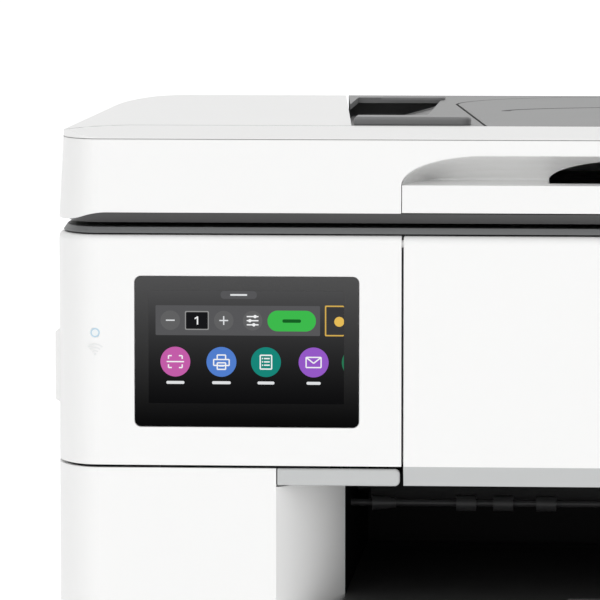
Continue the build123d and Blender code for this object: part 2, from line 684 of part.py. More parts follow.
with BuildPart() as lid_frame:
    add(lid_skin.part)
    block((-half - 5, tray_right), (band - 0.6, lid_back + 5), (cover_low - 1.0, lid_top + 5), Mode.SUBTRACT)
    with BuildSketch(Plane.XZ.offset(-front + 5)):
        add(under_relief(0))
    extrude(amount=-relief_depth - 5, mode=Mode.SUBTRACT)
    with BuildSketch(Plane.XY.offset(lid_edge_top - 0.9)):
        add(lid_outline(-1))
        add(lid_outline(lid_draft + 0.15), mode=Mode.SUBTRACT)
    extrude(amount=0.45, mode=Mode.SUBTRACT)
    block((-arch_half, arch_half), (front - 5, front + 20), (lid_front_low - 5, arch_floor), Mode.SUBTRACT)
    with BuildSketch(Plane.XZ.offset(-front + 5)):
        add(arch(arch_half, arch_floor, arch_top))
    extrude(amount=-20, mode=Mode.SUBTRACT)
    for side in (-1, 1):
        x = side * hinge_x
        block((x - arm_half - fit, x + arm_half + fit), (lid_back - 20, lid_back + 5),
              (lid_side_low - 1, pivot_z + 8), Mode.SUBTRACT)
save(lid_frame, "lid_frame")

with BuildPart() as lid_front_insert:
    add(lid_solid.part)
    block((-arch_half + fit, arch_half - fit), (front - 5, front + scoop_depth + 6),
          (lid_front_low + 0.3, arch_floor + scoop_floor_rise), Mode.INTERSECT)
    block((-arch_half - 5, arch_half + 5), (front + 7, front + scoop_depth + 6), (arch_floor, arch_top + 4))
    add(scoop_hollow.part, mode=Mode.SUBTRACT)
    with BuildSketch(Plane.XZ.offset(-front - 12)):
        with Locations((0, arch_floor + scoop_floor_rise)):
            Ellipse(*outlet_window)
    extrude(amount=-scoop_depth, mode=Mode.SUBTRACT)
save(lid_front_insert, "lid_front_insert")

with BuildPart() as lid_underside:
    with BuildSketch(Plane.XY.offset(trim_low)):
        add(lid_outline(4.7))
    with BuildSketch(Plane.XY.offset(lid_front_low - 0.2)):
        add(lid_outline(0.6))
    loft(ruled=True)
    with BuildSketch(Plane.XZ.offset(-front + 5)):
        add(under_relief(0.2))
    extrude(amount=-relief_depth - 4.8, mode=Mode.INTERSECT)
    with BuildSketch(Plane.XY.offset(trim_low)):
        add(lid_outline(lid_draft + wall + 0.5))
    extrude(amount=lid_front_low - 0.2 - trim_low)
    block((-half + 20, half - 20), (front + 22, lid_back - 45), (trim_low + 2.5, lid_front_low + 1),
          Mode.SUBTRACT)
save(lid_underside, "lid_underside")

with BuildPart() as backing_pad:
    block((-glass_half + 3, glass_half - 3), (basin_y[0] + 7, basin_y[1] - 7), (bed_top + 0.5, trim_low))
save(backing_pad, "backing_pad")

with BuildPart() as hinge_arms:
    for side in (-1, 1):
        x = side * hinge_x
        span = (x - arm_half, x + arm_half)
        block(span, (lid_back - 42, pivot_y), (lid_front_low - 0.2, pivot_z + 4))
        rod(5.5, span, pivot_y, pivot_z)
        rod(pivot_r, (x - arm_half - ear_wall, x + arm_half + ear_wall), pivot_y, pivot_z)
save(hinge_arms, "hinge_arms")

cover_edge = [(throat_x[0] + 13.5, band), (throat_x[0] - 8.2, lid_back - 4)]
with BuildPart() as adf_cover:
    add(lid_skin.part)
    with BuildSketch(Plane.XY.offset(cover_low)):
        Polygon((-half - 5, band + seam), (cover_edge[0][0], band + seam), cover_edge[1],
                (cover_edge[1][0], lid_back + 5), (-half - 5, lid_back + 5), align=None)
    extrude(amount=30, mode=Mode.INTERSECT)
save(adf_cover, "adf_cover")

with BuildSketch() as flap_plan:
    with BuildLine():
        near_corner, turn = (throat_x[0] + 79.5, band + seam), (throat_x[0] + 57, lid_back - 104)
        far_corner = (throat_x[0] + 112.5, lid_back - 20)
        Line((tray_right - 1.5, band + seam), near_corner)
        Line(near_corner, turn)
        ThreePointArc(turn, (throat_x[0] + 76, lid_back - 49), far_corner)
        Line(far_corner, (tray_right - 1.5, lid_back - 20))
        Line((tray_right - 1.5, lid_back - 20), (tray_right - 1.5, band + seam))
    make_face()

with BuildPart() as adf_tray:
    add(lid_skin.part)
    block((throat_x[0] + 60, tray_right - 1), (front + 40, lid_back - 12), (lid_top - 6, lid_top - 2.5))
    with BuildSketch(Plane.XY.offset(cover_low)):
        Polygon((cover_edge[0][0] + 1.4, band + seam), (tray_right - fit, band + seam),
                (tray_right - fit, lid_back + 5), (cover_edge[1][0] + 1.4, lid_back + 5),
                (cover_edge[1][0] + 1.4, lid_back - 4), align=None)
    extrude(amount=30, mode=Mode.INTERSECT)
    block(throat_x, throat_y, (cover_low - 1, lid_top + 1), Mode.SUBTRACT)
    with BuildSketch(Plane.XY.offset(lid_top - flap_thick - 0.2)):
        add(flap_plan.sketch)
        offset(amount=flap_gap, kind=Kind.INTERSECTION)
    extrude(amount=10, mode=Mode.SUBTRACT)
save(adf_tray, "adf_tray")

with BuildPart() as adf_flap:
    add(lid_solid.part)
    with BuildSketch(Plane.XY.offset(lid_top - flap_thick)):
        add(flap_plan.sketch)
    extrude(amount=10, mode=Mode.INTERSECT)
save(adf_flap, "adf_flap")

adf_roller_x, adf_roller_z = throat_x[0] - 45, lid_front_low + 16.6
adf_ends = (throat_y[0] + 2, throat_y[1] - 36)
with BuildPart() as adf_base:
    block((-half + 12, throat_x[1] + 2), (front + 58, lid_back - 46), (lid_front_low + 1, lid_front_low + 4))
    block((throat_x[0] - 3, throat_x[1] + 2), (throat_y[0] - 2, throat_y[1] + 2),
          (throat_floor - 5, throat_floor))
    block((throat_x[0] - 3, throat_x[0]), (throat_y[0] - 2, throat_y[1] + 2),
          (lid_front_low + 1, throat_floor - 4))
    with BuildSketch(Plane.XZ.offset(-throat_y[1] + 10)):
        Polygon((throat_x[0] + 18, throat_floor - 1), (throat_x[1] - 1, throat_floor - 1),
                (throat_x[1] - 1, lid_top - 3.5), align=None)
    extrude(amount=throat_y[1] - throat_y[0] - 20)
    for y in adf_ends:
        block((adf_roller_x - 12, adf_roller_x + 12), (y, y + 4), (lid_front_low + 1, adf_roller_z + 7))
        spindle(3 + running, adf_roller_x, (y - 1, y + 5), adf_roller_z, Mode.SUBTRACT)
save(adf_base, "adf_base")

with BuildPart() as adf_roller:
    spindle(3, adf_roller_x, (adf_ends[0], adf_ends[1] + 4), adf_roller_z)
    spindle(7, adf_roller_x, (adf_ends[0] + 6, adf_ends[1] - 2), adf_roller_z)
save(adf_roller, "adf_roller")

for name, right, near in (("front", throat_x[0] + 71, front + 40), ("rear", throat_x[0] + 48, lid_back - 61)):
    with BuildPart() as guide:
        block((throat_x[0] + 14.2, right), (near, near + 20), (lid_top + 0.2, guide_tops[name]))
        fillet(guide.edges().filter_by(Axis.Z).group_by(Axis.X)[-1], 6)
        fillet(guide.faces().sort_by(Axis.Z)[-1].edges(), (guide_tops[name] - lid_top) * 0.4)
    save(guide, f"adf_guide_{name}")
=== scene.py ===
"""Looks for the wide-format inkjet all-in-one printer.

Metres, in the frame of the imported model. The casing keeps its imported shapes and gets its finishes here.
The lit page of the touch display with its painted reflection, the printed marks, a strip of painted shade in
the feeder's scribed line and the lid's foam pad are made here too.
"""
import json
from math import cos, pi, radians, sin

import bmesh
import bpy
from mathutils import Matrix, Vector


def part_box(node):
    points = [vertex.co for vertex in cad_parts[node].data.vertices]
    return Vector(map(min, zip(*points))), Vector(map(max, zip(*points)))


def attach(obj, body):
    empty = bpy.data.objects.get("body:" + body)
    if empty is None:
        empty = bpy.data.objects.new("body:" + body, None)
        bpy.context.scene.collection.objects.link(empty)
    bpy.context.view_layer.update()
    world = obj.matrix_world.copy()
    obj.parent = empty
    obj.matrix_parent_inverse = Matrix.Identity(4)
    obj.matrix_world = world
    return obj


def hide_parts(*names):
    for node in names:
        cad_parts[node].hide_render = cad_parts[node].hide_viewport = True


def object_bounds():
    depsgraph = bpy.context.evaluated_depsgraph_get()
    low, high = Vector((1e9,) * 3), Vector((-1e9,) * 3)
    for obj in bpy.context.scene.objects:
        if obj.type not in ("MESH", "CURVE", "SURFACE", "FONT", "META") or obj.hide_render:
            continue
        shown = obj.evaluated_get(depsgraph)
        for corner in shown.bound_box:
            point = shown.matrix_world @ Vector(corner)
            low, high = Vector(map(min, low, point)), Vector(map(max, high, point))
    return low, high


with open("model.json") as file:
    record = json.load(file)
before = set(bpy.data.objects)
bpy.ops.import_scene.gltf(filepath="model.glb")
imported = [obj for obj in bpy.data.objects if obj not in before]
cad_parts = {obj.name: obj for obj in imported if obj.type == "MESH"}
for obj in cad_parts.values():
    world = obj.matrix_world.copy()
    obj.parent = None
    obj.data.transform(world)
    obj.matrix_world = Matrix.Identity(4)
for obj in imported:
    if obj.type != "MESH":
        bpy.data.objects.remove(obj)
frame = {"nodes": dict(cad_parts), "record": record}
cad_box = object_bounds()
MM = 0.001
BLACK = (0.0, 0.0, 0.0, 1.0)


# ======== shared shader effects ========

def new_group(name, inputs, outputs):
    """Empty shader node group with named sockets; inputs are (name, default) pairs, outputs (name, kind)."""
    group = bpy.data.node_groups.new(name, "ShaderNodeTree")
    for label, default in inputs:
        kind = "NodeSocketColor" if isinstance(default, tuple) else "NodeSocketFloat"
        group.interface.new_socket(label, in_out="INPUT", socket_type=kind).default_value = default
    for label, kind in outputs:
        group.interface.new_socket(label, in_out="OUTPUT", socket_type=kind)
    return group, group.nodes.new("NodeGroupInput"), group.nodes.new("NodeGroupOutput")


def math_node(tree, operation, a, b=None, clamp=False):
    """Math node fed by sockets or plain numbers; returns its output."""
    node = tree.nodes.new("ShaderNodeMath")
    node.operation, node.use_clamp = operation, clamp
    for slot_number, value in enumerate((a, b)):
        if value is None:
            continue
        if isinstance(value, (int, float)):
            node.inputs[slot_number].default_value = value
        else:
            tree.links.new(value, node.inputs[slot_number])
    return node.outputs[0]


def mix_colour(tree, share, first, second):
    """Colour mix of two sockets or colours; returns its output."""
    node = tree.nodes.new("ShaderNodeMix")
    node.data_type = "RGBA"
    for socket, value in ((node.inputs[0], share), (node.inputs[6], first), (node.inputs[7], second)):
        if isinstance(value, (int, float, tuple)):
            socket.default_value = value
        else:
            tree.links.new(value, socket)
    return node.outputs[2]


def position(tree):
    """Place in the piece's own space, so that a finish stays put when its piece moves."""
    return tree.nodes.new("ShaderNodeTexCoord").outputs["Object"]


def noise(tree, where, scale, detail=2.0):
    node = tree.nodes.new("ShaderNodeTexNoise")
    node.inputs["Scale"].default_value = scale
    node.inputs["Detail"].default_value = detail
    tree.links.new(where, node.inputs["Vector"])
    return node.outputs["Fac"]


def moulded_grain_group():
    """Spark-eroded mould texture: a fine height, and a slow drift in tint and gloss."""
    group, given, result = new_group(
        "moulded_grain",
        [("Colour", (0.8, 0.8, 0.8, 1.0)), ("Grain Size", 0.0009), ("Tint Drift", 0.02), ("Roughness", 0.4),
         ("Gloss Drift", 0.04)],
        [("Colour", "NodeSocketColor"), ("Roughness", "NodeSocketFloat"), ("Height", "NodeSocketFloat")])
    where = position(group)
    scale = math_node(group, "DIVIDE", 1.0, given.outputs["Grain Size"])
    fine = group.nodes.new("ShaderNodeTexNoise")
    fine.inputs["Detail"].default_value = 3.0
    group.links.new(where, fine.inputs["Vector"])
    group.links.new(scale, fine.inputs["Scale"])
    drift = noise(group, where, 9.0)
    centred = math_node(group, "SUBTRACT", drift, 0.5)
    amount = math_node(group, "MULTIPLY", math_node(group, "ABSOLUTE", centred), given.outputs["Tint Drift"])
    group.links.new(mix_colour(group, amount, given.outputs["Colour"], BLACK), result.inputs["Colour"])
    gloss = math_node(group, "MULTIPLY", centred, given.outputs["Gloss Drift"])
    speck = math_node(group, "MULTIPLY", math_node(group, "SUBTRACT", fine.outputs["Fac"], 0.5),
                      given.outputs["Gloss Drift"])
    total = math_node(group, "ADD", math_node(group, "ADD", gloss, speck), given.outputs["Roughness"])
    group.links.new(total, result.inputs["Roughness"])
    group.links.new(fine.outputs["Fac"], result.inputs["Height"])
    return group


def brushed_lines_group():
    """Fine drawn lines along X, as on turned rods and rolled sheet."""
    group, given, result = new_group(
        "brushed_lines", [("Colour", (0.6, 0.6, 0.6, 1.0)), ("Roughness", 0.3), ("Line Depth", 0.5)],
        [("Colour", "NodeSocketColor"), ("Roughness", "NodeSocketFloat"), ("Height", "NodeSocketFloat")])
    stretch = group.nodes.new("ShaderNodeMapping")
    stretch.inputs["Scale"].default_value = (12.0, 900.0, 900.0)
    group.links.new(position(group), stretch.inputs["Vector"])
    lines = noise(group, stretch.outputs["Vector"], 1.0, 4.0)
    shade = math_node(group, "MULTIPLY", lines, 0.25)
    lined = mix_colour(group, shade, given.outputs["Colour"], (0.1, 0.1, 0.1, 1.0))
    group.links.new(lined, result.inputs["Colour"])
    rough = math_node(group, "ADD", given.outputs["Roughness"], math_node(group, "MULTIPLY", lines, 0.15))
    group.links.new(rough, result.inputs["Roughness"])
    group.links.new(math_node(group, "MULTIPLY", lines, given.outputs["Line Depth"]), result.inputs["Height"])
    return group


def settled_dust_group():
    """Mask of the faint dust that settles on upward faces."""
    group, given, result = new_group("settled_dust", [("Amount", 0.05)], [("Mask", "NodeSocketFloat")])
    own_space = group.nodes.new("ShaderNodeTexCoord")
    split = group.nodes.new("ShaderNodeSeparateXYZ")
    group.links.new(own_space.outputs["Normal"], split.inputs[0])
    upward = math_node(group, "POWER", math_node(group, "MAXIMUM", split.outputs["Z"], 0.0), 4.0)
    patches = noise(group, position(group), 60.0, 5.0)
    cover = math_node(group, "MULTIPLY", upward, patches)
    mask = math_node(group, "MULTIPLY", cover, given.outputs["Amount"], clamp=True)
    group.links.new(mask, result.inputs["Mask"])
    return group


MOULDED_GRAIN = moulded_grain_group()
BRUSHED_LINES = brushed_lines_group()
SETTLED_DUST = settled_dust_group()


# ======== finishes ========

def place_group(tree, group, **values):
    node = tree.nodes.new("ShaderNodeGroup")
    node.node_tree = group
    for label, value in values.items():
        node.inputs[label.replace("_", " ")].default_value = value
    return node


def new_finish(name):
    material = bpy.data.materials.new(name)
    material.use_nodes = True
    tree = material.node_tree
    return material, tree, tree.nodes["Principled BSDF"]


def add_bump(tree, shader, height, distance):
    bump = tree.nodes.new("ShaderNodeBump")
    bump.inputs["Distance"].default_value = distance
    bump.inputs["Strength"].default_value = 1.0
    tree.links.new(height, bump.inputs["Height"])
    tree.links.new(bump.outputs["Normal"], shader.inputs["Normal"])


def plastic(name, colour, roughness, grain=0.0009, relief=0.00001, dust=0.04, specular=0.5):
    """Moulded plastic with a fine texture, faint tint drift and a trace of dust on top faces.

    colour is linear; grain and relief are the size and depth of the texture in metres."""
    material, tree, shader = new_finish(name)
    surface = place_group(tree, MOULDED_GRAIN, Colour=(*colour, 1.0), Grain_Size=grain, Roughness=roughness)
    settled = place_group(tree, SETTLED_DUST, Amount=dust)
    dusty = mix_colour(tree, settled.outputs["Mask"], surface.outputs["Colour"], (0.62, 0.61, 0.58, 1.0))
    tree.links.new(dusty, shader.inputs["Base Color"])
    tree.links.new(surface.outputs["Roughness"], shader.inputs["Roughness"])
    shader.inputs["Specular IOR Level"].default_value = specular
    add_bump(tree, shader, surface.outputs["Height"], relief)
    return material


def metal(name, colour, roughness):
    material, tree, shader = new_finish(name)
    surface = place_group(tree, BRUSHED_LINES, Colour=(*colour, 1.0), Roughness=roughness)
    tree.links.new(surface.outputs["Colour"], shader.inputs["Base Color"])
    tree.links.new(surface.outputs["Roughness"], shader.inputs["Roughness"])
    shader.inputs["Metallic"].default_value = 1.0
    add_bump(tree, shader, surface.outputs["Height"], 0.00002)
    return material


def rise_on_glass(tree, power):
    """0 at the foot of the touch glass to 1 at its top edge, bent by a power; it shapes the painted
    reflection.
    """
    low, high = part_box("touch_glass")
    split = tree.nodes.new("ShaderNodeSeparateXYZ")
    tree.links.new(position(tree), split.inputs[0])
    above = math_node(tree, "SUBTRACT", split.outputs["Z"], low.z)
    rise = math_node(tree, "DIVIDE", above, high.z - low.z, clamp=True)
    return math_node(tree, "POWER", rise, power)


def glass_with_painted_reflection():
    """Black panel glass with a painted reflection: a little lighter towards its top edge."""
    material, tree, shader = new_finish("touch_panel_glass")
    # Painted reflection: near black at the foot of the glass, rising to a light grey at its top edge.
    foot, top = (0.0003, 0.0003, 0.0004, 1.0), (0.072, 0.072, 0.073, 1.0)
    tint = mix_colour(tree, rise_on_glass(tree, 1.4), foot, top)
    tree.links.new(tint, shader.inputs["Base Color"])
    smear = noise(tree, position(tree), 180.0, 5.0)
    roughness = math_node(tree, "ADD", math_node(tree, "MULTIPLY", smear, 0.05), 0.05)
    tree.links.new(roughness, shader.inputs["Roughness"])
    shader.inputs["Specular IOR Level"].default_value = 0.02
    return material


def clear_glass():
    material, tree, shader = new_finish("platen_clear_glass")
    smear = noise(tree, position(tree), 120.0, 4.0)
    tree.links.new(math_node(tree, "MULTIPLY", smear, 0.05), shader.inputs["Roughness"])
    shader.inputs["Base Color"].default_value = (0.86, 0.93, 0.92, 1.0)
    shader.inputs["Transmission Weight"].default_value = 0.9
    shader.inputs["IOR"].default_value = 1.5
    return material


def foam_finish():
    material, tree, shader = new_finish("backing_foam")
    cells = tree.nodes.new("ShaderNodeTexVoronoi")
    cells.inputs["Scale"].default_value = 900.0
    tree.links.new(position(tree), cells.inputs["Vector"])
    tint = mix_colour(tree, cells.outputs["Distance"], (0.86, 0.86, 0.85, 1.0), (0.80, 0.80, 0.79, 1.0))
    tree.links.new(tint, shader.inputs["Base Color"])
    shader.inputs["Roughness"].default_value = 0.8
    shader.inputs["Sheen Weight"].default_value = 0.2
    add_bump(tree, shader, cells.outputs["Distance"], 0.0002)
    return material


def lit_colour(name, colour):
    """Backlit display colour with the faint unevenness of its light guide."""
    material, tree, shader = new_finish(name)
    uneven = noise(tree, position(tree), 30.0)
    share = math_node(tree, "MULTIPLY", uneven, 0.06)
    glow = mix_colour(tree, share, (*colour, 1.0), BLACK)
    tree.links.new(glow, shader.inputs["Emission Color"])
    shader.inputs["Emission Strength"].default_value = 1.0
    shader.inputs["Base Color"].default_value = BLACK
    shader.inputs["Roughness"].default_value = 0.6
    shader.inputs["Specular IOR Level"].default_value = 0.0
    return material


def board_finish():
    material, tree, shader = new_finish("circuit_board_mask")
    tracks = tree.nodes.new("ShaderNodeTexBrick")
    tracks.inputs["Scale"].default_value = 160.0
    tracks.inputs["Color1"].default_value = (0.01, 0.10, 0.04, 1.0)
    tracks.inputs["Color2"].default_value = (0.015, 0.13, 0.05, 1.0)
    tracks.inputs["Mortar"].default_value = (0.03, 0.22, 0.09, 1.0)
    turn = tree.nodes.new("ShaderNodeMapping")
    turn.inputs["Rotation"].default_value = (radians(90), 0.0, 0.0)
    tree.links.new(position(tree), turn.inputs["Vector"])
    tree.links.new(turn.outputs["Vector"], tracks.inputs["Vector"])
    tree.links.new(tracks.outputs["Color"], shader.inputs["Base Color"])
    shader.inputs["Roughness"].default_value = 0.35
    return material


def srgb(grey):
    """Linear value of an 8-bit display grey."""
    share = grey / 255
    return share / 12.92 if share <= 0.04045 else ((share + 0.055) / 1.055) ** 2.4


def tone(*greys):
    return tuple(srgb(grey) for grey in greys)


CASING_WHITE = (0.86, 0.86, 0.855)
# Painted light: the feeder's charcoal gets a much lighter grey than the real plastic, standing in for light
# its deep shaded throat lacks.
FEEDER_CHARCOAL_PAINTED_LIGHTER = plastic("feeder_charcoal_painted_lighter", (0.20, 0.20, 0.202), 0.5)
TRIM_CHARCOAL = plastic("trim_charcoal", (0.072, 0.072, 0.073), 0.42, specular=0.3)
FINISHES = {
    "white_plastic": plastic("casing_white", CASING_WHITE, 0.38),
    "grey_plastic": plastic("feeder_grey", (0.178, 0.180, 0.181), 0.42),
    "chin_plastic": plastic("chin_grey", (0.50, 0.51, 0.51), 0.40),
    "bed_plastic": plastic("bed_grey", (0.150, 0.154, 0.156), 0.45),
    "charcoal_plastic": plastic("charcoal", (0.030, 0.030, 0.031), 0.42, specular=0.3),
    "black_plastic": plastic("engine_black", (0.003, 0.003, 0.0033), 0.5, dust=0.0, specular=0.1),
    "screen_glass": glass_with_painted_reflection(),
    "status_lens": lit_colour("status_lens_glow", tone(243, 248, 250)),
    "platen_glass": clear_glass(),
    "foam": foam_finish(),
    "rubber": plastic("roller_rubber", (0.020, 0.020, 0.021), 0.75, grain=0.0004, relief=0.00004),
    "steel": metal("rod_steel", (0.62, 0.63, 0.65), 0.22),
    "galvanised_sheet": metal("galvanised_sheet", (0.42, 0.43, 0.45), 0.38),
    "circuit_board": board_finish(),
    "ink_black": plastic("cartridge_black_shell", (0.02, 0.02, 0.02), 0.4),
    "ink_cyan": plastic("cartridge_cyan_shell", (0.01, 0.25, 0.52), 0.4),
    "ink_magenta": plastic("cartridge_magenta_shell", (0.50, 0.02, 0.18), 0.4),
    "ink_yellow": plastic("cartridge_yellow_shell", (0.78, 0.60, 0.02), 0.4),
}


def white_with_painted_seam_shade(name, axis, place, width, depth):
    """Casing white with a painted shadow line along a joint across the piece: place and width along that
    axis.
    """
    material = plastic(name, CASING_WHITE, 0.38)
    tree, shader = material.node_tree, material.node_tree.nodes["Principled BSDF"]
    unshaded = shader.inputs["Base Color"].links[0].from_socket
    split = tree.nodes.new("ShaderNodeSeparateXYZ")
    tree.links.new(position(tree), split.inputs[0])
    # Painted shade: a dark band where the shadow inside the joint's gap falls.
    away = math_node(tree, "ABSOLUTE", math_node(tree, "SUBTRACT", split.outputs[axis], place))
    inside = math_node(tree, "LESS_THAN", away, width / 2)
    shade = math_node(tree, "MULTIPLY", inside, depth)
    tree.links.new(mix_colour(tree, shade, unshaded, BLACK), shader.inputs["Base Color"])
    return material


COVER_FRONT_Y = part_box("adf_cover")[0].y
LID_GROOVE_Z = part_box("lid_frame")[1].z - 5.275 * MM
NODE_FINISHES = {
    # Painted light: the feeder's throat parts take the lightened charcoal.
    "adf_base": FEEDER_CHARCOAL_PAINTED_LIGHTER,
    "adf_guide_rear": FEEDER_CHARCOAL_PAINTED_LIGHTER,
    "lid_underside": TRIM_CHARCOAL,
    # Painted shade: a dark line along the cover's front seam and along the lid's groove.
    "adf_cover": white_with_painted_seam_shade("cover_white_with_painted_seam_shade", "Y", COVER_FRONT_Y, 0.1 * MM, 0.9),
    "lid_frame": white_with_painted_seam_shade("lid_white_with_painted_groove_shade", "Z", LID_GROOVE_Z, 0.47 * MM, 0.45),
}


def dress_cad_nodes():
    """Give every carried-over node its own finish, or else that of its slot."""
    for row in frame["record"]["subparts"]:
        mesh = frame["nodes"][row["node"]].data
        mesh.materials.clear()
        mesh.materials.append(NODE_FINISHES.get(row["node"], FINISHES[row["material_slot"]]))


# ======== flat shapes on the panel ========

front_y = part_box("touch_glass")[0].y


def finish_piece(name, mesh, material, body):
    piece = bpy.data.objects.new(name, mesh)
    bpy.context.scene.collection.objects.link(piece)
    mesh.materials.clear()
    mesh.materials.append(material)
    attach(piece, body)
    return piece


def slab(name, outlines, layer, material, body="printer", thick=0.03 * MM):
    """Thin raised shapes facing the front, each outline a list of (x, z) points in metres.

    layer counts the steps in front of the glass, so shapes drawn on others lie on top."""
    shape = bmesh.new()
    y = front_y - (0.02 + 0.04 * layer) * MM
    for outline in outlines:
        near = [shape.verts.new((x, y - thick, z)) for x, z in outline]
        far = [shape.verts.new((x, y, z)) for x, z in outline]
        shape.faces.new(near)
        shape.faces.new(list(reversed(far)))
        for i in range(len(outline)):
            j = (i + 1) % len(outline)
            shape.faces.new((near[j], near[i], far[i], far[j]))
    bmesh.ops.recalc_face_normals(shape, faces=shape.faces)
    mesh = bpy.data.meshes.new(name)
    shape.to_mesh(mesh)
    shape.free()
    return finish_piece(name, mesh, material, body)


def round_rect(left, right, low, high, radius, steps=6):
    """Outline of a rectangle with rounded corners."""
    points = []
    for cx, cz, start in ((right - radius, low + radius, -90), (right - radius, high - radius, 0),
                          (left + radius, high - radius, 90), (left + radius, low + radius, 180)):
        for step in range(steps + 1):
            angle = radians(start + 90 * step / steps)
            points.append((cx + radius * cos(angle), cz + radius * sin(angle)))
    return points


def disc(x, z, radius, steps=40):
    angles = [2 * pi * i / steps for i in range(steps)]
    return [(x + radius * cos(angle), z + radius * sin(angle)) for angle in angles]


def band_arc(x, z, radius, width, start, end, steps=16):
    """Part of a ring, from angle start to end in degrees."""
    inner, outer = [], []
    for step in range(steps + 1):
        angle = radians(start + (end - start) * step / steps)
        outer.append((x + (radius + width / 2) * cos(angle), z + (radius + width / 2) * sin(angle)))
        inner.append((x + (radius - width / 2) * cos(angle), z + (radius - width / 2) * sin(angle)))
    return outer + inner[::-1]


def bar(x, z, width, height):
    return [(x - width / 2, z - height / 2), (x + width / 2, z - height / 2),
            (x + width / 2, z + height / 2), (x - width / 2, z + height / 2)]


def word_line(name, x, z, width, thickness, layer, material):
    """Plain rounded stroke that stands where a caption goes."""
    return slab(name, [round_rect(x - width / 2, x + width / 2, z - thickness / 2, z + thickness / 2,
                                  thickness / 2.2)], layer, material)


